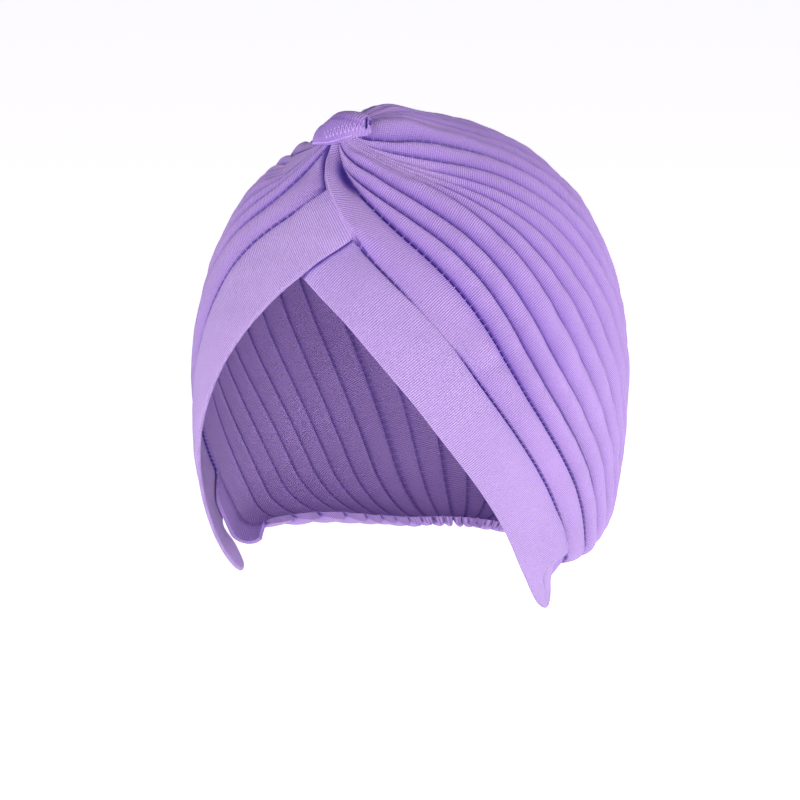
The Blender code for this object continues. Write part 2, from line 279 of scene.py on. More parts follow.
# Strip over the knot: half sizes, how its outline turns, tapers, bows and leans, and its section
STRIP_HALF_LENGTH = 10.6 * MM
STRIP_HALF_WIDTH = 6.9 * MM
STRIP_SHIFT = -1.2 * MM
STRIP_TURN = math.radians(22.0)
STRIP_TAPER = 0.4
STRIP_RIGHT_BOW = 6.2 * MM
STRIP_LEFT_BOW = 2.2 * MM
STRIP_LEAN = -1.7 * MM
STRIP_END_POWER = 8
STRIP_SIDE_POWER = 6
STRIP_MIDDLE = 2.4 * MM
STRIP_FRONT_THINNER = 0.3
STRIP_RIGHT_THINNER = 0.45
STRIP_RIGHT_RUN = 0.6
STRIP_EDGE = 1.3 * MM
STRIP_SEAT = 2.4 * MM
STRIP_TUCK = 1.4 * MM
STRIP_WAVES = 0.15 * MM
STRIP_SEED = 77
ROLL_RISE = 0.5 * MM
ROLL_AT = 0.86
ROLL_HALF_WIDTH = 0.12
CREASE_DEPTH = 0.4 * MM
CREASE_AT = 0.1
CREASE_SLANT = 0.7
CREASE_HALF_WIDTH = 0.14
CREASE_FADE = 0.3
# Painted shade in the crease, towards the strip's right end and in the slits, which are painted
# dark
CREASE_SHADE = 0.35
END_SHADE = 0.35
END_SHADE_FROM = 0.5
SLIT_DEPTH = 1.6 * MM
SLIT_FADE = 0.3
Slit = namedtuple("Slit", "long run back front")
STRIP_SLITS = table(Slit, (0.85, 0.03, -0.3, 0.95), (0.95, 0.03, -0.5, 0.6))
ZIGZAG_FROM = -0.45
ZIGZAG_TO = 0.72
ZIGZAG_RUNS = 6
ZIGZAG_LOW = 0.62
ZIGZAG_HIGH = 0.92
ZIGZAG_THREAD = 0.8
THREAD_LIFT = 0.2 * MM
EDGING_AT = 0.97
EDGING_FROM = -0.97
EDGING_TO = 0.45
EDGING_THREAD = 1.5
STRIP_COLUMNS = 71
STRIP_ROWS = 41

# Ladder stitches: where they start and end along a seam, and how each bar of thread lies
LADDER_AFTER_OPENING = 6.0
LADDER_FROM = 15.0
LADDER_BEFORE_HEM = 2.0
LADDER_SLANT = 0.10
LADDER_HALF_LENGTH = 0.36 * MM
LADDER_HEIGHT = 0.62
BEAD_SEGMENTS = 6
BEAD_RINGS = 5

# Materials: scales and strengths of the knit's loops, fibres and clouds, and of the thread
LOOP_LENGTH = 0.8
LOOP_SHARE = 0.35
FIBRE_SCALE = 1500.0
FIBRE_DETAIL = 2.0
FIBRE_HEIGHT = 0.9
FIBRE_SPECKS = 0.4
CLOUD_SCALE = 38.0
CLOUD_DETAIL = 3.0
WORN_SCALE = 90.0
KNIT_BUMP = 0.9
KNIT_DEPTH = 0.14 * MM
DIM = 0.86
BRIGHT = 1.08
STRIPE_LEVEL = 0.94
# Painted shade: how much of the hollow colour goes beside the folds, and of the fold colour under a
# stitch
HOLLOW_SHARE = 0.8
DASH_LEAST = 0.15
JERSEY_SURFACE = {
    "Roughness": 0.7,
    "Specular IOR Level": 0.35,
    "Sheen Weight": 0.12,
    "Sheen Roughness": 0.5,
    "Sheen Tint": (0.86, 0.76, 1.0, 1.0),
}
PLY_SCALE = 5200.0
PLY_DIM = 0.8
PLY_BUMP = 0.4
PLY_DEPTH = 0.04 * MM
CLOTH_RIBBING = 0.5
KNOT_RIBBING = 0.2
THREAD_SURFACE = {"Roughness": 0.6, "Sheen Weight": 0.1}
SHARP_EDGE = math.radians(70.0)
WELD = 0.001 * MM

# Studio: the lights by angle round the turban, distance, size and watts; the floor and the air;
# and where the turban's centre lies in the picture, in pixels right of and above its middle
Lamp = namedtuple("Lamp", "name azimuth elevation distance size power")
LAMPS = table(
    Lamp,
    ("key", 108, 8, 1.3, 1.1, 15.5), ("fill", -52, 8, 1.5, 1.2, 11.5),
    ("front", 22, 14, 1.5, 0.8, 11.0))
FLOOR_HALF_SIZE = 12.0
FLOOR_SURFACE = {
    "Roughness": 0.95,
    "Specular IOR Level": 0.0,
    "Emission Color": (1.0, 1.0, 1.0, 1.0),
    "Emission Strength": 0.72,
}
AIR_LOW = (0.92, 0.92, 0.92, 1.0)
AIR_HIGH = (0.11, 0.09, 0.15, 1.0)
AIR_CLIMB = 1.3
AIR_SOFTNESS = 0.1
PICTURE_WIDTH = 800.0
CENTRE_RIGHT = 5.5
CENTRE_UP = 5.0
CAMERA_SEES = 100.0

Wave = namedtuple("Wave", "length weight")
SOFT_WAVES = table(Wave, (31 * MM, 0.5), (19 * MM, 0.3), (9 * MM, 0.2))


def metres(name, description, default):
    """A length that a user may set."""
    return FloatProperty(name=name, description=description, default=default, unit="LENGTH")


def degrees(name, description, default):
    """An angle that a user may set."""
    default = math.radians(default)
    return FloatProperty(name=name, description=description, default=default, subtype="ANGLE")


def colour(name, description, default):
    """A colour that a user may set."""
    return FloatVectorProperty(name=name, description=description, default=default,
                               subtype="COLOR", min=0.0, max=1.0)


class TurbanSizes(bpy.types.PropertyGroup):
    """Sizes of the hollow and of the cloth."""

    half_breadth: metres("Half breadth", "Half the hollow's width", 71.4 * MM)
    front: metres("Front", "From the centre to the front", 82.0 * MM)
    back: metres("Back", "From the centre to the back", 95.5 * MM)
    above: metres("Above", "From the centre up to the crown", 96.5 * MM)
    below: metres("Below", "From the centre down, if the form were whole", 122.0 * MM)
    knot_tilt: degrees("Knot tilt", "How far the knot leans forward", 24.6)
    wall: metres("Wall", "Thickness of the doubled jersey", 1.4 * MM)
    pleat_rise: metres("Pleat rise", "Height of a full pleat", 3.2 * MM)


class TurbanStitches(bpy.types.PropertyGroup):
    """Sizes of the stitching and of the knit."""

    pitch: metres("Stitch pitch", "Distance between ladder stitches", 2.9 * MM)
    thread: metres("Thread", "Radius of the thread", 0.2 * MM)
    bar: metres("Bar", "Length of fold that one stitch draws closed", 0.5 * MM)
    zigzag: metres("Zigzag pitch", "Distance between zigzag points", 1.25 * MM)
    wale: metres("Wale", "Distance between the ribs of the knit", 0.75 * MM)


class TurbanColours(bpy.types.PropertyGroup):
    """Colours of the cloth, the thread and the floor, and of the painted shade in and by the folds.
    """

    pleats: colour("Pleats", "Jersey of the pleated panels", (0.44, 0.28, 0.645))
    bands: colour("Bands", "Jersey of the front bands", (0.45, 0.30, 0.65))
    knot: colour("Knot", "Jersey of the strip over the knot", (0.36, 0.215, 0.57))
    # Painted shade: fold is painted deep in the stitched folds and other hollows, hollow beside
    # them
    fold: colour("Fold", "Cloth deep in a stitched fold", (0.03, 0.001, 0.22))
    hollow: colour("Hollow", "Cloth in the shade beside a fold", (0.13, 0.04, 0.46))
    thread: colour("Thread", "Thread of all the stitching", (0.52, 0.36, 0.80))
    floor: colour("Floor", "Plain floor", (0.90, 0.90, 0.91))


class TurbanStudio(bpy.types.PropertyGroup):
    """Camera and floor."""

    azimuth: degrees("Azimuth", "Camera's turn towards the left side", 27.0)
    elevation: degrees("Elevation", "Camera's height angle", 11.0)
    distance: metres("Distance", "Camera to the hollow's centre", 1.4)
    view_width: metres("View width", "Width of the view at the centre", 290.9 * MM)
    floor_drop: metres("Floor drop", "Floor below the lowest cloth", 120.0 * MM)


def smooth_step(value):
    """0 below 0, 1 above 1, and an S between."""
    value = np.clip(value, 0.0, 1.0)
    return value * value * (3.0 - 2.0 * value)


def blend(first, second, share):
    """From the first value at 0 to the second at 1."""
    return first + (second - first) * share


def eased(share):
    """0 at 0, and level where it comes to 1."""
    return np.sin(0.5 * math.pi * share)


def bell(value):
    """1 at 0, falling away on both sides."""
    return np.exp(-np.asarray(value, float) ** 2)


def plateau(value):
    """1 near 0, with a clear fall on both sides."""
    return np.exp(-np.asarray(value, float) ** 4)


def soft_waves(across, along, seed):
    """Slow unevenness of stretched cloth, about -1 to 1."""
    draw = np.random.default_rng(seed)
    total = np.zeros(np.broadcast(across, along).shape)
    for wave in SOFT_WAVES:
        turn, phase = draw.uniform(0.0, 2.0 * math.pi, 2)
        way = across * math.cos(turn) + along * math.sin(turn)
        total = total + wave.weight * np.sin(2.0 * math.pi * way / wave.length + phase)
    return total


def run_along(points):
    """Distance along a row of points."""
    steps = np.linalg.norm(np.diff(points, axis=0), axis=1)
    return np.concatenate([[0.0], np.cumsum(steps)])


def mirrored(points, side):
    """Points on the left side, 1, or the right one, -1."""
    return points * np.array([side, 1.0, 1.0])


def arc(reach):
    """Length along the form, from the knot's axis down to a reach."""
    return np.radians(reach) * MEAN_RADIUS


class Form:
    """The form that the cloth is stretched into."""

    def __init__(self, sizes):
        self.sizes = sizes
        self.centre = np.array([0.0, 0.0, -sizes.above])
        tilt = sizes.knot_tilt
        self.to_knot = np.array([0.0, -math.sin(tilt), math.cos(tilt)])
        self.to_front = np.array([0.0, -math.cos(tilt), -math.sin(tilt)])
        self.to_left = np.array([1.0, 0.0, 0.0])
        self.corner_reach = float(self.hem_reach(np.array([HEM_FRONT_BEARING]))[0])

    def direction(self, reach, bearing):
        """Unit vectors from the centre."""
        reach = np.radians(reach)[..., None]
        bearing = np.radians(bearing)[..., None]
        round_knot = np.cos(bearing) * self.to_front + np.sin(bearing) * self.to_left
        return np.cos(reach) * self.to_knot + np.sin(reach) * round_knot

    def reach_and_bearing(self, way):
        """Reach and bearing of unit vectors."""
        reach = np.degrees(np.arccos(np.clip(way @ self.to_knot, -1.0, 1.0)))
        return reach, np.degrees(np.arctan2(way[..., 0], way @ self.to_front))

    def radius(self, way):
        """Distance from the centre to the wall of the hollow."""
        sizes = self.sizes
        depth = np.where(way[..., 1] < 0.0, sizes.front, sizes.back)
        height = np.where(way[..., 2] > 0.0, sizes.above, sizes.below)
        across = np.abs(way[..., 0] / sizes.half_breadth) ** PLAN_ROUNDNESS
        along = np.abs(way[..., 1] / depth) ** PLAN_ROUNDNESS
        plan = (across + along) ** (HEIGHT_ROUNDNESS / PLAN_ROUNDNESS)
        upright = np.abs(way[..., 2] / height) ** HEIGHT_ROUNDNESS
        return (plan + upright) ** (-1.0 / HEIGHT_ROUNDNESS)

    def peak(self, way, radius, reach):
        """How far the gathered cloth stands up round the knot."""
        knot = self.to_knot * self.radius(self.to_knot)
        offset = way * radius[..., None] - knot
        length = np.hypot(offset[..., 1], offset[..., 2])
        spread = np.where(offset[..., 1] > 0.0, PEAK_BACK, PEAK_FRONT)
        lift = PEAK_RISE * bell(offset[..., 0] / PEAK_WIDTH) * bell(length / spread)
        return lift + GATHER_RISE * bell(reach / GATHER_REACH)

    def cloth(self, reach, bearing, height):
        """Points at a height over the hollow."""
        reach, bearing, height = np.broadcast_arrays(
            np.asarray(reach, float), np.asarray(bearing, float), np.asarray(height, float))
        way = self.direction(reach, bearing)
        radius = self.radius(way)
        radius = radius + self.peak(way, radius, reach) + height
        return self.centre + way * radius[..., None]

    def hem_share(self, bearing, full):
        """0 at a panel's front corner, 1 from a bearing on."""
        bearing = np.asarray(bearing, float)
        return smooth_step((bearing - HEM_FRONT_BEARING) / (full - HEM_FRONT_BEARING))

    def hem_roll(self, bearing):
        """Radius with which the hem turns under."""
        return blend(HEM_SIDE_ROLL, HEM_BACK_ROLL, self.hem_share(bearing, HEM_ROLL_BEARING))

    def hem_turn(self, bearing):
        """Angle through which the hem turns under."""
        share = self.hem_share(bearing, HEM_ROLL_BEARING)
        return np.radians(blend(HEM_SIDE_TURN, HEM_BACK_TURN, share))

    def hem_reach(self, bearing):
        """Reach at which the hem starts to turn under."""
        drop = blend(HEM_SIDE_DROP, HEM_BACK_DROP, self.hem_share(bearing, HEM_BACK_BEARING))
        level = self.centre[2] - drop + self.hem_roll(bearing)
        low = np.full(drop.shape, HEM_LOWEST_REACH)
        high = np.full(drop.shape, HEM_HIGHEST_REACH)
        for _ in range(HEM_HALVINGS):
            middle = 0.5 * (low + high)
            above = self.cloth(middle, bearing, self.sizes.wall)[..., 2] > level
            low = np.where(above, middle, low)
            high = np.where(above, high, middle)
        return 0.5 * (low + high)

    def hem_bearings(self, count):
        """Bearings that share the hem evenly, with a broader first pleat."""
        fine = np.linspace(HEM_FRONT_BEARING, 180.0, HEM_SAMPLES)
        run = run_along(self.cloth(self.hem_reach(fine), fine, self.sizes.wall))
        shares = np.concatenate([[0.0], np.cumsum([HEM_FIRST_PLEAT] + [1.0] * (count - 2))])
        return np.interp(shares / shares[-1] * run[-1], run, fine)

    def seam_curve(self, seam, reach):
        """Bearing of one seam before it drifts to its place on the hem."""
        swing = np.exp(-(np.asarray(reach, float) - RIM_REACH) / seam.fan)
        return blend(seam.side, seam.near, swing)

    def edge_curve(self, seam, reach):
        """Bearing along the seam between a panel and its band."""
        hem = self.corner_reach
        drift = HEM_FRONT_BEARING - self.seam_curve(seam, hem)
        share = smooth_step((reach - DRIFT_START) / (hem - DRIFT_START))
        return self.seam_curve(seam, reach) + drift * share

    def left_edge(self, reach):
        """Front edge of the left panel."""
        return self.edge_curve(LEFT_SEAMS[0], reach)

    def right_edge(self, reach):
        """Front edge of the right panel, mirrored."""
        return np.maximum(-self.left_edge(reach), self.right_band_seam(reach))

    def right_band_seam(self, reach):
        """Upper edge of the right band, mirrored, which runs on under the left panel."""
        return self.edge_curve(RIGHT_SEAMS[0], reach)

    def degrees_for(self, length, reach):
        """Bearing that spans a length at this reach."""
        return np.degrees(length / (MEAN_RADIUS * np.sin(np.radians(reach))))

    def front_reach(self, row):
        """Reach along the front edge of a named row."""
        share = (np.asarray(row, float) - RIM_REACH) / (LAST_ROW - RIM_REACH)
        return blend(RIM_REACH, self.corner_reach, share)

    def panel_table(self, panel):
        """Reach and bearing of every seam at every row of a panel."""
        seams = panel.seams
        hems = self.hem_bearings(len(seams))
        limits = self.hem_reach(hems)
        share = np.linspace(0.0, 1.0, PANEL_ROWS) ** ROWS_CLOSER
        reaches = blend(FIRST_REACH, limits[:, None], share)
        bearings = [panel.edge(self, reaches[0])]
        for seam, reach, limit, hem in zip(seams[1:], reaches[1:], limits[1:], hems[1:]):
            core = self.seam_curve(seam, reach)
            drift = smooth_step((reach - DRIFT_START) / (limit - DRIFT_START))
            bearings.append(np.maximum(core + (hem - core[-1]) * drift, bearings[-1] + SEAM_APART))
        return reaches, np.array(bearings)


# What makes each panel and each band: its side, its lines, its lift over the cloth beneath, and
# the seed of its unevenness
Panel = namedtuple("Panel", "side seams edge opening gathers lap soft seed")
LEFT_PANEL = Panel(1.0, LEFT_SEAMS, Form.left_edge, LEFT_EDGE_OPENING, LEFT_GATHERS, LAP_RISE,
                   0.0, 100)
RIGHT_PANEL = Panel(-1.0, RIGHT_SEAMS, Form.right_edge, RIGHT_EDGE_OPENING, RIGHT_GATHERS, 0.0,
                    RIGHT_SOFTNESS, 200)
Band = namedtuple("Band", "side rows edge opening gape lap seed")
LEFT_FRONT = Band(1.0, LEFT_BAND, Form.left_edge, LEFT_EDGE_OPENING, LEFT_SEAMS[0].gape, 0.0, 300)
RIGHT_FRONT = Band(-1.0, RIGHT_BAND, Form.right_band_seam, RIGHT_EDGE_OPENING,
                   RIGHT_SEAMS[0].gape, LAP_STEP, 301)


def lap_share(reach):
    """How much of its lift over the bands a panel's front edge has."""
    rise = smooth_step((reach - LAP_FROM) / LAP_RUN)
    return rise * (1.0 - smooth_step((reach - LAP_TO) / LAP_FADE))


def edge_opening(places, reach):
    """How far the fold along a panel's front edge is open."""
    return np.interp(reach, [place.reach for place in places], [place.share for place in places])


def seam_opening(seam, reach):
    """How far the fold at a seam inside a panel is open."""
    return smooth_step((reach - seam.opens) / OPENING_RUN)


def corner_share(reach):
    """0 above a panel's front corner, 1 at its hem."""
    return smooth_step((reach - CORNER_FROM) / CORNER_RUN)


def columns_across(width, near, count):
    """Distances across a width: the near ones by each edge, and evenly between."""
    far = (width - near)[::-1]
    shares = np.linspace(0.0, 1.0, count + 2)[1:-1, None]
    return np.vstack([near, blend(near[-1], far[0], shares), far])


def roll_profile(share):
    """Section of one pleat: a long rise from its front seam, a crest, and a round drop."""
    rise = eased(np.clip(share / CREST_AT, 0.0, 1.0))
    drop = np.sqrt(1.0 - np.clip((share - CREST_AT) / (1.0 - CREST_AT), 0.0, 1.0) ** 2)
    return np.where(share < CREST_AT, rise, drop)


def fill_closed(profile, share, opening, level):
    """Level out a valley where its fold is closed."""
    return profile + (level - profile) * (1.0 - opening) * bell(share / FILL_RUN)


def pleat_relief(form, panel, pleat, distance, width, reach, openings):
    """Height over the hollow, painted fold shade and softer painted shade across one pleat."""
    is_first = pleat == 0
    opening, next_opening = openings[pleat:pleat + 2]
    share = distance / width
    slope = PLEAT_SLOPE + GATHER_SLOPE * bell(reach / GATHER_FADE)
    crest = np.minimum(form.sizes.pleat_rise, slope * width) * (FIRST_RISE if is_first else 1.0)
    tucked = blend(TUCKED_CREST, 1.0, smooth_step((reach - RIM_REACH) / TUCKED_RUN))
    crest = crest * (1.0 - panel.soft * bell(reach / FLAT_REACH)) * tucked
    level = FILL_LEVEL - KNOT_UNFILLED * bell(reach / KNOT_UNFILLED_REACH)
    profile = fill_closed(roll_profile(share), share, opening, BAND_LEVEL if is_first else level)
    profile = fill_closed(profile, 1.0 - share, next_opening, level)
    waves = soft_waves(distance, arc(reach), panel.seed + pleat)
    height = form.sizes.wall + crest * profile * (1.0 + PLEAT_WAVES * waves)
    low = smooth_step((reach - LOW_FROM) / LOW_RUN)
    half_width = SEAM_HALF_WIDTH * np.minimum(1.0, width / FULL_PLEAT) * (1.0 + LOW_GAPE * low)
    gape, next_gape = panel.seams[pleat].gape, panel.seams[pleat + 1].gape
    front = opening * bell(distance / (half_width * gape))
    back = next_opening * bell((width - distance) / (half_width * next_gape))
    spread = SEAM_SPREAD * half_width
    # Painted shade: dark deep in the folds, softer on the rise after a seam, the drop before one
    # and the valleys
    fold = np.maximum(opening * plateau(distance / (spread * gape)),
                      next_opening * plateau(2.0 * (width - distance) / (spread * next_gape)))
    rise = (FIRST_SHADE if is_first else 1.0) * np.exp(-share / RISE_SHADE)
    drop = np.exp((share - 1.0) / (DROP_SHADE + KNOT_DROP_SHADE * bell(reach / GATHER_FADE)))
    shade = (opening * rise + next_opening * drop) * (1.0 - LOW_FADE * low)
    shade = shade + VALLEY_SHADE * bell(reach / VALLEY_REACH) * (1.0 - profile)
    return height - SEAM_DEPTH * np.maximum(front, back), fold, np.clip(shade, 0.0, 1.0)


def front_marks(panel, distance, width, reach, height, shade):
    """Height, painted shade and painted dark of a first pleat: a deep pocket or a shadow line."""
    if not panel.lap:
        beneath = smooth_step((BENEATH_TO - reach) / BENEATH_FADE)
        return height, shade, beneath * plateau(distance / BENEATH_WIDTH)
    pocket = bell((reach - POCKET_REACH) / POCKET_RUN)
    pocket = pocket * bell((width - distance) / (POCKET_SPREAD * reach))
    dark = smooth_step(POCKET_DARK * pocket - POCKET_DARK_FROM)
    return height + POCKET_RISE * pocket, np.maximum(shade, pocket), dark


def pleat_values(form, panel, pleat, reaches, bearings, openings):
    """Reach, bearing, heights of both faces, and the painted values, of one pleat's columns."""
    is_first = pleat == 0
    mean_reach = 0.5 * (reaches[pleat] + reaches[pleat + 1])
    span = np.radians(bearings[pleat + 1] - bearings[pleat])
    width = span * MEAN_RADIUS * np.sin(np.radians(mean_reach))
    width = np.maximum(width, NARROWEST_PLEAT)
    near = np.outer(SEAM_STEPS, np.minimum(1.0, width / FULL_PLEAT))
    distance = columns_across(width, near, CREST_COLUMNS)
    if pleat < len(panel.seams) - 2:
        distance = distance[:-1]
    share = distance / width
    reach = reaches[pleat] * (1.0 - share) + reaches[pleat + 1] * share
    bearing = bearings[pleat] * (1.0 - share) + bearings[pleat + 1] * share
    height, fold, shade = pleat_relief(form, panel, pleat, distance, width, reach, openings)
    height = height + sum(place.rise * nearness(place, reach, bearing) for place in panel.gathers)
    # Painted dark, as shade, along the dented crown line at the back
    dark = nearness(CROWN_LINE, reach, bearing)
    height = height + CROWN_LINE.rise * dark
    if is_first:
        height, shade, dark = front_marks(panel, distance, width, reach, height, shade)
    height = np.maximum(height, THINNEST)
    across, along = square_to_seam(form.cloth(reach, bearing, 0.0), 0, PANEL_ROWS - 1)
    nearest = np.minimum(distance, width - distance)
    inner = -SEAM_RIDGE * bell(nearest / (2.0 * SEAM_HALF_WIDTH))
    if is_first:
        lift = panel.lap * lap_share(reach) * (1.0 - smooth_step(share / LAP_ACROSS))
        rounding = np.clip(1.0 - distance / EDGE_ROUND, 0.0, 1.0)
        drop = EDGE_ROUND * (1.0 - np.sqrt(1.0 - rounding ** 2))
        height = height + lift - drop * lap_share(reach) * (panel.lap > 0.0)
        inner = inner + lift
    values = np.stack([reach, bearing, height, inner, across, along, shade, arc(reach), fold, dark])
    return np.hstack([flange(form, panel, values[:, 0]), values]) if is_first else values


def flange(form, panel, first):
    """The same values for the cloth that runs on under the band, beside a panel's first column."""
    reach, bearing, height, inner, across, along, shade, run, fold, dark = first
    step = np.arange(FLANGE_COLUMNS, 0.0, -1.0)[:, None]
    width = flange_width(reach, panel.lap)
    bearing = bearing - form.degrees_for(width * (step / FLANGE_COLUMNS), reach)
    above = 1.0 - corner_share(reach)
    under = np.minimum(height, inner) - FLANGE_DEPTH
    height = height * (1.0 - above) + under * above
    inner = inner - (SEAM_RIDGE + 2.0 * FLANGE_DEPTH) * above
    across = across - FLANGE * step
    return np.stack(np.broadcast_arrays(reach, bearing, height, inner, across, along, shade, run,
                                        fold * above, dark))


def panel_points(form, panel):
    """Outer and inner points of a panel, its weave and run, and painted shade, fold and dark."""
    reaches, bearings = form.panel_table(panel)
    openings = [edge_opening(panel.opening, reaches[0])]
    for seam, reach in zip(panel.seams[1:], reaches[1:]):
        firm = 1.0 - panel.soft * bell((reach - SOFT_REACH) / SOFT_RUN)
        openings.append(seam_opening(seam, reach) * firm)
    pleats = [pleat_values(form, panel, pleat, reaches, bearings, openings)
              for pleat in range(len(panel.seams) - 1)]
    reach, bearing, height, inner, *painted = np.concatenate(pleats, axis=1)
    painted = [np.pad(rows, ((0, 0), (0, ROLL_ROWS)), mode="edge") for rows in painted]
    across, along, _, run, _, _ = painted
    carry_on(form, bearing[:, -1], across, along, run)
    outer = roll_hem(form, reach, bearing, height)
    return outer, roll_hem(form, reach, bearing, inner), painted


def carry_on(form, bearing, across, along, run):
    """Carry the weave and the seams' lengths on round the roll at the hem."""
    length = form.hem_roll(bearing) * form.hem_turn(bearing)
    length = length[:, None] * np.linspace(0.0, 1.0, ROLL_ROWS + 1)[1:]
    last = -ROLL_ROWS - 1
    ways = [rows[:, last] - rows[:, last - 1] for rows in (across, along)]
    size = np.hypot(*ways)
    for rows, way in zip((across, along), ways):
        rows[:, -ROLL_ROWS:] += (way / size)[:, None] * length
    run[:, -ROLL_ROWS:] += length


def square_to_seam(points, column, last):
    """Distances across and along the cloth, square to one of its columns as far as the last row."""
    line = points[column][:last + 1]
    run = run_along(line)
    way = np.gradient(line, axis=0)
    window = np.hanning(2 * GRAIN_WINDOW + 1)
    padded = np.pad(way, ((GRAIN_WINDOW, GRAIN_WINDOW), (0, 0)), mode="edge")
    way = np.stack([np.convolve(part, window, mode="valid") for part in padded.T], axis=1)
    way /= np.linalg.norm(way, axis=1)[:, None]
    rows = np.minimum(np.arange(points.shape[1]), last)
    offset = points - line[rows]
    ahead = np.sum(offset * way[rows], axis=2)
    aside = np.linalg.norm(offset - ahead[..., None] * way[rows], axis=2)
    side = np.sign(np.arange(len(points)) - column)[:, None]
    return aside * side, run[rows] + ahead


def nearness(place, reach, bearing):
    """1 at a place among the gathers, falling away round it."""
    near = bell((reach - place.reach) / place.reach_run)
    return near * bell((bearing - place.bearing) / place.bearing_run)


def flange_width(reach, lap):
    """Width of a panel's cloth under its band: narrow above and broad at the corner."""
    near = bell((reach - CROSSING_REACH) / CROSSING_REACH_RUN)
    crossing = 0.0 if lap else CROSSING_FLANGE * near
    return blend(FLANGE, CORNER_WIDTH, corner_share(reach)) + crossing


def roll_hem(form, reach, bearing, height):
    """Columns of cloth points, carried on round the roll at the hem."""
    body = form.cloth(reach, bearing, height)
    last_reach, last_bearing = reach[:, -1], bearing[:, -1]
    here = form.cloth(last_reach, last_bearing, 0.0)
    down = form.cloth(last_reach + SLOPE_STEP, last_bearing, 0.0) - here
    side = form.cloth(last_reach, last_bearing + SLOPE_STEP, 0.0)
    side = side - form.cloth(last_reach, last_bearing - SLOPE_STEP, 0.0)
    down /= np.linalg.norm(down, axis=1)[:, None]
    out = np.cross(side, down)
    out /= np.linalg.norm(out, axis=1)[:, None]
    out *= np.sign(np.sum(out * (here - form.centre), axis=1))[:, None]
    radius = form.hem_roll(last_bearing)
    hub = here - out * radius[:, None]
    arm = (radius + height[:, -1])[:, None]
    turns = np.linspace(0.0, form.hem_turn(last_bearing), ROLL_ROWS + 1)[1:, :, None]
    step = body[:, -1] - hub - arm * out
    rolled = [hub + arm * (out * np.cos(turn) + down * np.sin(turn))
              + step * (1.0 - smooth_step(turn / ROLL_EASE)) for turn in turns]
    return np.concatenate([body, np.stack(rolled, axis=1)], axis=1)


def smooth_through(values, between):
    """A smooth curve through values given at whole steps, with some points between each two."""
    values = np.asarray(values, float)
    padded = np.vstack([2.0 * values[0] - values[1], values, 2.0 * values[-1] - values[-2]])
    steps = np.linspace(0.0, 1.0, between, endpoint=False)[:, None]
    pieces = []
    for start in range(len(values) - 1):
        a, b, c, d = padded[start:start + 4]
        pieces.append(0.5 * (2.0 * b + (c - a) * steps
                             + (2.0 * a - 5.0 * b + 4.0 * c - d) * steps ** 2
                             + (3.0 * b - a - 3.0 * c + d) * steps ** 3))
    pieces.append(values[-1:])
    return np.vstack(pieces)


def band_outline(form, band):
    """Places down a band's free edge and down its seam, and the last row above the tongue."""
    free = smooth_through([row[:2] for row in band.rows + TONGUE], BAND_ROWS_BETWEEN)
    seam_rows = smooth_through([(row.seam_row,) for row in band.rows], BAND_ROWS_BETWEEN)[:, 0]
    reach = form.front_reach(seam_rows)
    under = 0.0 if band.lap else TUCK_UNDER * smooth_step(2.0 * lap_share(reach) - 1.0)
    bearing = band.edge(form, reach) + form.degrees_for(under - SEAM_GAP, reach)
    main = np.stack([reach, bearing], axis=1)
    back = [tuple(main[-1])] + [(row.back_reach, row.back_bearing) for row in TONGUE]
    tongue = smooth_through(back, BAND_ROWS_BETWEEN)[1:]
    return free, np.vstack([main, tongue]), len(main) - 1


def band_shades(band, reach, bearing, opening, to_seam):
    """Painted soft shade and dark shadow of a band, by its seam and where the right band crosses.
    """
    shade = BAND_SHADE * opening * np.exp(-to_seam / BAND_SHADE_RUN)
    if band.lap:
        return shade, np.zeros(shade.shape)
    gap = below_right_band(reach, bearing)
    near = CROSSING_SHADE * np.exp(-gap / CROSSING_RUN)
    far = CROSSING_DUSK * np.exp(-gap / CROSSING_DUSK_RUN)
    shade = np.maximum(shade, np.where(gap > 0.0, np.maximum(near, far), 0.0))
    return shade, plateau(gap / CROSSING_LINE)


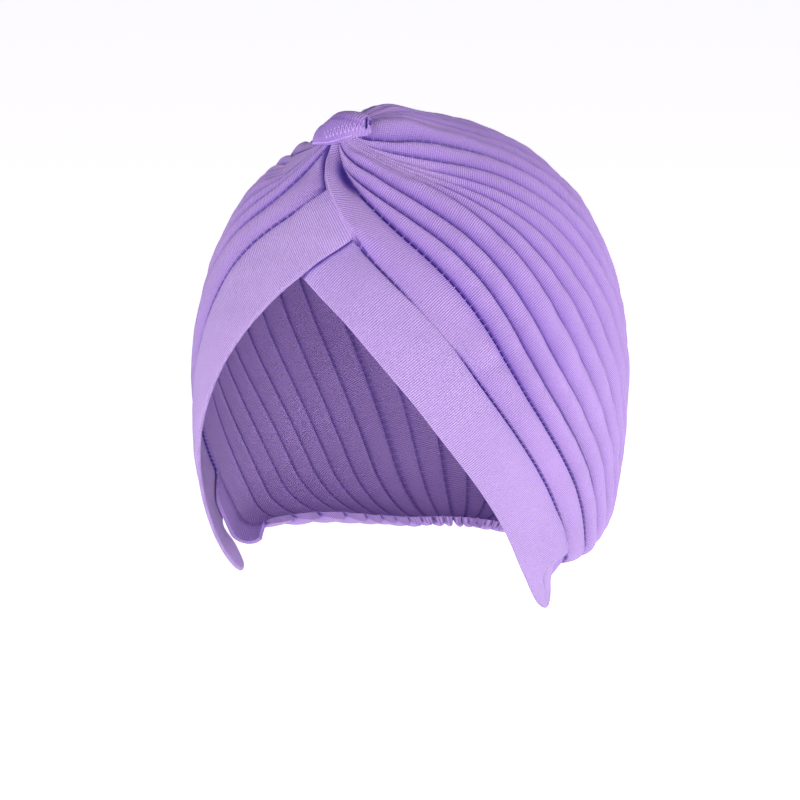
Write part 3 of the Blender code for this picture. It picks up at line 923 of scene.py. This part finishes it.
def band_points(form, band):
    """Outer and inner points of a front band, its weave, run, and painted shade, fold and dark."""
    free, seam, last = band_outline(form, band)
    free_way = form.direction(free[:, 0], free[:, 1])
    seam_way = form.direction(seam[:, 0], seam[:, 1])
    width = np.linalg.norm(free_way - seam_way, axis=1) * MEAN_RADIUS
    near = np.outer(BAND_EDGE_STEPS, np.minimum(1.0, width / BAND_FULL))
    distance = columns_across(width, near, BAND_COLUMNS)
    share = (distance / width)[..., None]
    way = free_way * (1.0 - share) + seam_way * share
    reach, bearing = form.reach_and_bearing(way / np.linalg.norm(way, axis=2)[..., None])
    points = form.cloth(reach, bearing, 0.0)
    across, along = square_to_seam(points, len(distance) // 2, last)
    is_tongue = np.arange(len(seam)) >= last
    to_seam = width - distance
    to_open = np.minimum(distance, np.linalg.norm(points - points[:, -1:], axis=2))
    to_open = np.where(is_tongue, np.minimum(to_open, to_seam), to_open)
    opening = np.where(is_tongue, 0.0, edge_opening(band.opening, reach))
    fold = opening * plateau(to_seam / (SEAM_HALF_WIDTH * band.gape))
    half = 0.5 * form.sizes.wall
    round_edge = np.sqrt(1.0 - np.clip(1.0 - to_open / half, 0.0, 1.0) ** 2)
    inward = np.clip(to_open / (0.5 * width), 0.0, 1.0)
    half_swell = 0.5 * BAND_CROWN * eased(inward) ** BAND_CROWN_POWER
    lift = band.lap * (1.0 - smooth_step((bearing - LAP_BEARING) / LAP_SLOPE))
    waves = BAND_WAVES * soft_waves(distance, along, band.seed)
    waves = waves * smooth_step(to_open / BAND_WAVES_RUN)
    centre = lift + corner_lift(reach, bearing) + half + half_swell + waves
    outer = centre + (half + half_swell) * round_edge - SEAM_DEPTH * fold
    outer = outer - BAND_SINK * opening * np.exp(-to_seam / BAND_SINK_RUN)
    inner = centre - (half + half_swell) * round_edge
    shade, dark = band_shades(band, reach, bearing, opening, to_seam)
    return (form.cloth(reach, bearing, outer), form.cloth(reach, bearing, inner),
            (across, along, shade, arc(reach), fold, dark))


def below_right_band(reach, bearing):
    """Distance below the right band's free edge, where the left band comes out from under it."""
    edge = np.interp(-bearing, [row.free_bearing for row in RIGHT_BAND],
                     [row.free_reach for row in RIGHT_BAND])
    return arc(reach - edge)


def corner_lift(reach, bearing):
    """How far a band stands up over the corner of the panel's hem."""
    over = 1.0 - smooth_step((reach - CORNER_LIFT_TO) / CORNER_LIFT_FADE)
    over = corner_share(reach) * over
    return CORNER_LIFT * over * smooth_step((bearing - CORNER_LIFT_BEARING) / CORNER_LIFT_RUN)


def strip_spot(form, long, wide):
    """Distances ahead and across, reach and bearing of shares of the strip's half sizes."""
    narrow = 1.0 - STRIP_TAPER * long ** 2
    bow = np.where(long < 0.0, STRIP_RIGHT_BOW, STRIP_LEFT_BOW) * long ** 2
    straight = STRIP_HALF_LENGTH * long + 0.5 * STRIP_LEAN * wide * (1.0 - long)
    square = STRIP_HALF_WIDTH * wide * narrow - bow
    across = STRIP_SHIFT + straight * math.cos(STRIP_TURN) + square * math.sin(STRIP_TURN)
    ahead = square * math.cos(STRIP_TURN) - straight * math.sin(STRIP_TURN)
    radius = float(np.linalg.norm(form.cloth(0.0, 0.0, 0.0) - form.centre))
    reach = np.degrees(np.arctan2(np.hypot(across, ahead), radius))
    return ahead, across, reach, np.degrees(np.arctan2(across, ahead))


def strip_slit(long, wide):
    """1 in the slits by the strip's left end, which are dented and painted dark as shade."""
    slits = [bell((long - slit.long) / slit.run) * smooth_step((slit.front - wide) / SLIT_FADE)
             * smooth_step((wide - slit.back) / SLIT_FADE) for slit in STRIP_SLITS]
    return np.clip(sum(slits), 0.0, 1.0)


def strip_crease(long, wide):
    """1 in the slanting crease over the strip."""
    near = bell((wide - CREASE_AT - CREASE_SLANT * long) / CREASE_HALF_WIDTH)
    return near * smooth_step((1.0 - np.abs(long)) / CREASE_FADE)


def strip_place(form, long, wide, lift=0.0):
    """Outer and inner points of the strip at shares of its half sizes."""
    ahead, across, reach, bearing = strip_spot(form, long, wide)
    ends = np.clip(1.0 - np.abs(long) ** STRIP_END_POWER, 0.0, 1.0)
    rim = np.sqrt(ends * np.clip(1.0 - np.abs(wide) ** STRIP_SIDE_POWER, 0.0, 1.0))
    thinner = STRIP_RIGHT_THINNER * smooth_step(-long / STRIP_RIGHT_RUN)
    middle = STRIP_MIDDLE * (1.0 - STRIP_FRONT_THINNER * smooth_step(wide)) * (1.0 - thinner)
    middle = middle + ROLL_RISE * bell((wide - ROLL_AT) / ROLL_HALF_WIDTH)
    thick = rim * (middle + STRIP_WAVES * soft_waves(across, ahead, STRIP_SEED))
    thick = thick - CREASE_DEPTH * strip_crease(long, wide) - SLIT_DEPTH * strip_slit(long, wide)
    base = lift + STRIP_SEAT + 0.5 * STRIP_EDGE - STRIP_TUCK * np.abs(wide) ** 3
    outer = form.cloth(reach, bearing, base + thick + 0.5 * STRIP_EDGE * rim)
    inner = form.cloth(reach, bearing, base - 0.5 * STRIP_EDGE * rim)
    return outer, inner


def strip_points(form):
    """Outer and inner points of the strip with its weave, painted shade, fold and dark values."""
    long, wide = np.meshgrid(eased(np.linspace(-1.0, 1.0, STRIP_COLUMNS)),
                             eased(np.linspace(-1.0, 1.0, STRIP_ROWS)), indexing="ij")
    outer, inner = strip_place(form, long, wide)
    ahead, across = strip_spot(form, long, wide)[:2]
    slit = strip_slit(long, wide)
    end = END_SHADE * smooth_step(END_SHADE_FROM - long)
    shade = np.clip(slit + CREASE_SHADE * strip_crease(long, wide) + end, 0.0, 1.0)
    return outer, inner, (ahead, across, shade, across, np.zeros(slit.shape), slit)


def shell(name, surfaces, material, side=1.0):
    """A closed wall of cloth between two sets of points laid out alike."""
    outer, inner, values = surfaces
    columns, rows = outer.shape[:2]
    mesh = bmesh.new()
    bmesh.ops.create_grid(mesh, x_segments=columns - 1, y_segments=rows - 1, size=1.0)
    place = mesh.verts.layers.int.new("place")
    for vert in mesh.verts:
        column = round((vert.co.x + 1.0) / 2.0 * (columns - 1))
        row = round((vert.co.y + 1.0) / 2.0 * (rows - 1))
        vert[place] = column * rows + row
    under = list(mesh.verts)
    grown = bmesh.ops.extrude_face_region(mesh, geom=list(mesh.faces), use_keep_orig=True)
    over = [item for item in grown["geom"] if isinstance(item, bmesh.types.BMVert)]
    count = columns * rows
    inner, outer = (mirrored(points.reshape(count, 3), side) for points in (inner, outer))
    for vert in under:
        vert.co = inner[vert[place]]
        vert[place] += count
    for vert in over:
        vert.co = outer[vert[place]]
    bmesh.ops.remove_doubles(mesh, verts=list(mesh.verts), dist=WELD)
    bmesh.ops.recalc_face_normals(mesh, faces=list(mesh.faces))
    if mesh.calc_volume(signed=True) < 0.0:
        bmesh.ops.reverse_faces(mesh, faces=list(mesh.faces))
    data = bpy.data.meshes.new(name)
    mesh.to_mesh(data)
    mesh.free()
    places = np.zeros(len(data.vertices), dtype=np.int32)
    data.attributes["place"].data.foreach_get("value", places)
    inside = places >= count
    places %= count
    across, along, shade, run, fold, dark = (item.ravel()[places] for item in values)
    fold = np.where(inside, INSIDE_FOLD * fold, fold)
    # Besides the knit's grain and the seams' run, the attributes carry the painted shade, fold and
    # dark
    weave = np.stack([across, along, shade], axis=1).ravel()
    seam = np.stack([run, fold, dark], axis=1).ravel()
    data.attributes.new("weave", "FLOAT_VECTOR", "POINT").data.foreach_set("vector", weave)
    data.attributes.new("seam", "FLOAT_VECTOR", "POINT").data.foreach_set("vector", seam)
    data.attributes.remove(data.attributes["place"])
    return finish_piece(name, data, material)


def finish_piece(name, data, material):
    """Put a mesh in the scene as a smooth piece that goes with the turban's one body."""
    data.shade_smooth()
    data.set_sharp_from_angle(angle=SHARP_EDGE)
    data.materials.append(material)
    piece = bpy.data.objects.new(name, data)
    bpy.context.scene.collection.objects.link(piece)
    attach(piece, "root")
    return piece


def feed(tree, sockets, values):
    """Set each socket to its value, or link it."""
    for socket, value in zip(sockets, values):
        if isinstance(value, bpy.types.NodeSocket):
            tree.links.new(value, socket)
        else:
            socket.default_value = value


def node(tree, kind, **inputs):
    """A shader node with the values or links of its inputs."""
    item = tree.nodes.new(kind)
    feed(tree, [item.inputs[name] for name in inputs], inputs.values())
    return item


def maths(tree, operation, *values):
    """The output of a maths node."""
    item = tree.nodes.new("ShaderNodeMath")
    item.operation = operation
    feed(tree, item.inputs, values)
    return item.outputs[0]


def mix(tree, kind, share, first, second):
    """The output of a colour mix."""
    item = tree.nodes.new("ShaderNodeMix")
    item.data_type = "RGBA"
    item.blend_type = kind
    sockets = {socket.identifier: socket for socket in item.inputs}
    feed(tree, [sockets[name] for name in ("Factor_Float", "A_Color", "B_Color")],
         (share, first, second))
    return next(socket for socket in item.outputs if socket.identifier == "Result_Color")


def noise(tree, scale, detail):
    """The output of a noise in the piece's own space."""
    place = node(tree, "ShaderNodeTexCoord").outputs["Object"]
    return node(tree, "ShaderNodeTexNoise", Vector=place, Scale=scale, Detail=detail).outputs[0]


def mesh_values(tree, name):
    """The three values that a mesh carries under one name."""
    item = tree.nodes.new("ShaderNodeAttribute")
    item.attribute_name = name
    return node(tree, "ShaderNodeSeparateXYZ", Vector=item.outputs["Vector"]).outputs


def shaded(name, surface):
    """A new material, its node tree and its shader, whose named sockets are set."""
    material = bpy.data.materials.new(name)
    material.use_nodes = True
    shader = material.node_tree.nodes["Principled BSDF"]
    for socket, value in surface.items():
        shader.inputs[socket].default_value = value
    return material, material.node_tree, shader


def tinted(base, share):
    """A lighter or darker colour, opaque."""
    return (*(min(1.0, part * share) for part in base), 1.0)


def jersey(scene, name, cloth, ribbing):
    """Ribbed lilac jersey: knit loops, slow changes of tone, and painted shade in and by the folds.
    """
    if name in bpy.data.materials:
        return bpy.data.materials[name]
    colours, stitches = scene.turban_colours, scene.turban_stitches
    wale = stitches.wale
    material, tree, shader = shaded(name, JERSEY_SURFACE)
    across, along, shading = mesh_values(tree, "weave")
    run, fold, solid = mesh_values(tree, "seam")
    rib = maths(tree, "COSINE", maths(tree, "MULTIPLY", along, 2.0 * math.pi / wale))
    slant = maths(tree, "PINGPONG", along, 0.5 * wale)
    slant = maths(tree, "MULTIPLY", slant, 2.0 * math.pi / wale)
    loops = maths(tree, "MULTIPLY_ADD", across, 2.0 * math.pi / (LOOP_LENGTH * wale), slant)
    knit = maths(tree, "MULTIPLY_ADD", maths(tree, "SINE", loops), LOOP_SHARE, rib)
    fibre = noise(tree, FIBRE_SCALE, FIBRE_DETAIL)
    height = maths(tree, "MULTIPLY_ADD", fibre, FIBRE_HEIGHT, knit)
    bump = node(tree, "ShaderNodeBump", Height=height, Strength=KNIT_BUMP, Distance=KNIT_DEPTH)
    cloud = noise(tree, CLOUD_SCALE, CLOUD_DETAIL)
    shade = mix(tree, "MIX", cloud, tinted(cloth, DIM), tinted(cloth, BRIGHT))
    worn = maths(tree, "MULTIPLY", noise(tree, WORN_SCALE, 1.0), ribbing)
    stripe = maths(tree, "MULTIPLY_ADD", knit, worn, STRIPE_LEVEL)
    speck = maths(tree, "MULTIPLY_ADD", fibre, FIBRE_SPECKS, -0.5 * FIBRE_SPECKS)
    tone = maths(tree, "ADD", stripe, speck)
    grey = node(tree, "ShaderNodeCombineColor", Red=tone, Green=tone, Blue=tone)
    shade = mix(tree, "MULTIPLY", 1.0, shade, grey.outputs[0])
    # Painted shade: the hollow colour beside the folds, then the fold colour in them, lighter under
    # each stitch
    hollow = maths(tree, "MULTIPLY", shading, HOLLOW_SHARE)
    shade = mix(tree, "MIX", hollow, shade, (*colours.hollow, 1.0))
    from_bar = maths(tree, "PINGPONG", run, 0.5 * stitches.pitch)
    dash = maths(tree, "MULTIPLY_ADD", from_bar, 1.0 / stitches.bar, DASH_LEAST)
    dash = maths(tree, "MULTIPLY", fold, maths(tree, "MINIMUM", dash, 1.0))
    dark = maths(tree, "MAXIMUM", dash, solid)
    shade = mix(tree, "MIX", dark, shade, (*colours.fold, 1.0))
    feed(tree, (shader.inputs["Normal"], shader.inputs["Base Color"]), (bump.outputs[0], shade))
    return material


def sewing_thread(scene):
    """Twisted polyester thread."""
    name = "sewing_thread"
    if name in bpy.data.materials:
        return bpy.data.materials[name]
    twine = scene.turban_colours.thread
    material, tree, shader = shaded(name, THREAD_SURFACE)
    ply = noise(tree, PLY_SCALE, 1.0)
    bump = node(tree, "ShaderNodeBump", Height=ply, Strength=PLY_BUMP, Distance=PLY_DEPTH)
    shade = mix(tree, "MIX", ply, tinted(twine, PLY_DIM), tinted(twine, 1.0))
    feed(tree, (shader.inputs["Normal"], shader.inputs["Base Color"]), (bump.outputs[0], shade))
    return material


def stitch_place(start, end, radius):
    """Where one short run of thread lies: between two points, swollen in its middle."""
    start, end = Vector(start), Vector(end)
    way = end - start
    turn = way.to_track_quat("Z", "Y").to_matrix().to_4x4()
    stretch = Matrix.Diagonal((radius, radius, 0.5 * way.length, 1.0))
    return Matrix.Translation((start + end) / 2.0) @ turn @ stretch


def thread_bead():
    """Points and faces of a thread's swollen run, of radius 1 and length 2 along Z."""
    mesh = bmesh.new()
    bmesh.ops.create_uvsphere(mesh, u_segments=BEAD_SEGMENTS, v_segments=BEAD_RINGS,
                              radius=1.0)
    points = np.array([vert.co for vert in mesh.verts])
    faces = [[vert.index for vert in face.verts] for face in mesh.faces]
    mesh.free()
    return points, faces


def strip_stitches(form, stitches):
    """Places of the zigzag by the strip's front edge, and of the edging along it."""
    step = stitches.zigzag / STRIP_HALF_LENGTH
    long = np.arange(ZIGZAG_FROM, ZIGZAG_TO, step / ZIGZAG_RUNS)
    swing = np.abs(np.mod(long / step, 1.0) - 0.5) * 2.0
    wide = blend(ZIGZAG_LOW, ZIGZAG_HIGH, swing)
    zigzag, _ = strip_place(form, long, wide, THREAD_LIFT)
    long = np.arange(EDGING_FROM, EDGING_TO, 0.5 * step)
    edging, _ = strip_place(form, long, np.full(long.shape, EDGING_AT))
    places = []
    for line, thickness in ((zigzag, ZIGZAG_THREAD), (edging, EDGING_THREAD)):
        places += [stitch_place(*ends, thickness * stitches.thread)
                   for ends in zip(line[:-1], line[1:])]
    return places


def ladder_stitches(form, stitches, side, seam, reach, bearing):
    """Places of the bars of thread across one seam, a pitch apart."""
    start = max(seam.opens + LADDER_AFTER_OPENING, LADDER_FROM)
    first, last = arc([start, reach[-1] - LADDER_BEFORE_HEM]) / stitches.pitch
    places = []
    for count in range(math.ceil(first), math.ceil(last)):
        at = math.degrees(count * stitches.pitch / MEAN_RADIUS)
        turn = np.interp(at, reach, bearing)
        half = form.degrees_for(LADDER_HALF_LENGTH, at)
        ends = form.cloth([at - LADDER_SLANT, at + LADDER_SLANT], [turn - half, turn + half],
                          LADDER_HEIGHT * form.sizes.wall)
        places.append(stitch_place(*mirrored(ends, side), stitches.thread))
    return places


def stitch_piece(name, places, material):
    """One piece made of a run of thread at each place."""
    points, faces = thread_bead()
    spread = np.array(places)
    corners = np.einsum("nij,pj->npi", spread[:, :3, :3], points) + spread[:, None, :3, 3]
    rings = [[corner + number * len(points) for corner in face]
             for number in range(len(places)) for face in faces]
    data = bpy.data.meshes.new(name)
    data.from_pydata(corners.reshape(-1, 3).tolist(), [], rings)
    return finish_piece(name, data, material)


def panel_cloth(scene, name, panel):
    """One pleated panel in its jersey."""
    surfaces = panel_points(Form(scene.turban_sizes), panel)
    material = jersey(scene, "pleated_jersey_knit", scene.turban_colours.pleats, CLOTH_RIBBING)
    return shell(name, surfaces, material, panel.side)


class TURBAN_OT_left_panel(bpy.types.Operator):
    """Model the left pleated panel"""

    bl_idname = "turban.left_panel"
    bl_label = "Left panel"

    def execute(self, context):
        piece = panel_cloth(context.scene, "left_panel_cloth", LEFT_PANEL)
        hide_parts("left_panel")
        return {"FINISHED"}


class TURBAN_OT_right_panel(bpy.types.Operator):
    """Model the right pleated panel"""

    bl_idname = "turban.right_panel"
    bl_label = "Right panel"

    def execute(self, context):
        piece = panel_cloth(context.scene, "right_panel_cloth", RIGHT_PANEL)
        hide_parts("right_panel")
        return {"FINISHED"}


class TURBAN_OT_bands(bpy.types.Operator):
    """Model the two crossed front bands"""

    bl_idname = "turban.bands"
    bl_label = "Front bands"

    def execute(self, context):
        scene = context.scene
        form = Form(scene.turban_sizes)
        material = jersey(scene, "band_jersey_knit", scene.turban_colours.bands, CLOTH_RIBBING)
        for solid, band, width in (("left_band", LEFT_FRONT, 0.026),
                                   ("right_band", RIGHT_FRONT, 0.030)):
            piece = shell(f"{solid}_cloth", band_points(form, band), material, band.side)
            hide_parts(solid)
        return {"FINISHED"}


class TURBAN_OT_knot(bpy.types.Operator):
    """Model the folded strip over the knot, with its zigzag and edging"""

    bl_idname = "turban.knot"
    bl_label = "Knot strip"

    def execute(self, context):
        scene = context.scene
        form = Form(scene.turban_sizes)
        material = jersey(scene, "knot_jersey_knit", scene.turban_colours.knot, KNOT_RIBBING)
        piece = shell("knot_strip_cloth", strip_points(form), material)
        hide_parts("knot_strip")
        places = strip_stitches(form, scene.turban_stitches)
        piece = stitch_piece("knot_strip_stitches", places, sewing_thread(scene))
        return {"FINISHED"}


class TURBAN_OT_stitches(bpy.types.Operator):
    """Sew ladder stitches across the seams"""

    bl_idname = "turban.stitches"
    bl_label = "Ladder stitches"

    def execute(self, context):
        scene = context.scene
        form = Form(scene.turban_sizes)
        for name, panel in (("left_panel_stitches", LEFT_PANEL),
                            ("right_panel_stitches", RIGHT_PANEL)):
            places = []
            for line in list(zip(panel.seams, *form.panel_table(panel)))[1:-1]:
                places += ladder_stitches(form, scene.turban_stitches, panel.side, *line)
            piece = stitch_piece(name, places, sewing_thread(scene))
        return {"FINISHED"}


def way_out(azimuth, elevation):
    """Unit vector away from the centre: azimuth 0 to the front, 90 degrees to the left side."""
    level = math.cos(elevation)
    return Vector((math.sin(azimuth) * level, -math.cos(azimuth) * level, math.sin(elevation)))


class TURBAN_OT_studio(bpy.types.Operator):
    """Set the floor, the soft lights and the camera"""

    bl_idname = "turban.studio"
    bl_label = "Studio"

    def execute(self, context):
        scene = context.scene
        studio = scene.turban_studio
        centre = Vector((0.0, 0.0, -scene.turban_sizes.above))
        self.floor(scene, studio)
        for lamp in LAMPS:
            self.light(lamp, centre)
        self.air(scene)
        scene.view_settings.view_transform = "Standard"
        self.camera(scene, studio, centre)
        return {"FINISHED"}

    def air(self, scene):
        """Light from all round, weak from overhead."""
        world = bpy.data.worlds.new("studio_air")
        world.use_nodes = True
        tree = world.node_tree
        way = node(tree, "ShaderNodeTexCoord").outputs["Generated"]
        rise = node(tree, "ShaderNodeSeparateXYZ", Vector=way).outputs[2]
        climb = maths(tree, "MULTIPLY", rise, AIR_CLIMB)
        share = maths(tree, "SMOOTH_MIN", climb, 1.0, AIR_SOFTNESS)
        shade = mix(tree, "MIX", share, AIR_LOW, AIR_HIGH)
        feed(tree, tree.nodes["Background"].inputs, (shade,))
        scene.world = world

    def floor(self, scene, studio):
        """A wide plain floor below the turban."""
        level = CAD_BOX[0][2] - studio.floor_drop
        mesh = bmesh.new()
        bmesh.ops.create_grid(mesh, x_segments=1, y_segments=1, size=FLOOR_HALF_SIZE,
                              matrix=Matrix.Translation((0.0, 0.0, level)))
        data = bpy.data.meshes.new("studio_floor")
        mesh.to_mesh(data)
        mesh.free()
        material, _, shader = shaded("studio_floor", FLOOR_SURFACE)
        shader.inputs["Base Color"].default_value = (*scene.turban_colours.floor, 1.0)
        data.materials.append(material)
        floor = bpy.data.objects.new("studio_floor", data)
        scene.collection.objects.link(floor)

    def light(self, lamp, centre):
        """A square soft light that faces the turban."""
        away = way_out(math.radians(lamp.azimuth), math.radians(lamp.elevation))
        data = bpy.data.lights.new(lamp.name, "AREA")
        data.size = lamp.size
        data.energy = lamp.power
        light = bpy.data.objects.new(lamp.name, data)
        light.location = centre + away * lamp.distance
        light.rotation_euler = away.to_track_quat("Z", "Y").to_euler()
        bpy.context.scene.collection.objects.link(light)

    def camera(self, scene, studio, centre):
        """A long lens at the photograph's angle."""
        away = way_out(studio.azimuth, studio.elevation)
        data = bpy.data.cameras.new("camera")
        data.lens = data.sensor_width * studio.distance / studio.view_width
        data.shift_x = -CENTRE_RIGHT / PICTURE_WIDTH
        data.shift_y = -CENTRE_UP / PICTURE_WIDTH
        data.clip_end = CAMERA_SEES
        camera = bpy.data.objects.new("camera", data)
        camera.location = centre + away * studio.distance
        camera.rotation_euler = away.to_track_quat("Z", "Y").to_euler()
        scene.collection.objects.link(camera)
        scene.camera = camera


SETTINGS = {"turban_sizes": TurbanSizes, "turban_stitches": TurbanStitches,
            "turban_colours": TurbanColours, "turban_studio": TurbanStudio}
OPERATORS = (TURBAN_OT_studio, TURBAN_OT_left_panel, TURBAN_OT_right_panel, TURBAN_OT_bands,
             TURBAN_OT_knot, TURBAN_OT_stitches)


class TURBAN_PT_panel(bpy.types.Panel):
    """Lists the turban's pieces"""

    bl_idname = "TURBAN_PT_panel"
    bl_label = "Knotted turban"
    bl_space_type = "VIEW_3D"
    bl_region_type = "UI"
    bl_category = "Turban"

    def draw(self, context):
        for group in SETTINGS:
            settings = getattr(context.scene, group)
            for name in settings.__annotations__:
                self.layout.prop(settings, name)
        for operator in OPERATORS:
            self.layout.operator(operator.bl_idname)


CLASSES = (*SETTINGS.values(), *OPERATORS, TURBAN_PT_panel)


def register():
    """Make the settings, operators and panel known."""
    for item in CLASSES:
        bpy.utils.register_class(item)
    for name, group in SETTINGS.items():
        setattr(bpy.types.Scene, name, PointerProperty(type=group))


def unregister():
    """Take them away again."""
    for name in SETTINGS:
        delattr(bpy.types.Scene, name)
    for item in reversed(CLASSES):
        bpy.utils.unregister_class(item)


def main():
    """Build the turban and its studio."""
    register()
    bpy.ops.turban.studio()
    bpy.ops.turban.left_panel()
    bpy.ops.turban.right_panel()
    bpy.ops.turban.bands()
    bpy.ops.turban.knot()
    bpy.ops.turban.stitches()
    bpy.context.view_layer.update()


if __name__ == "__main__":
    main()
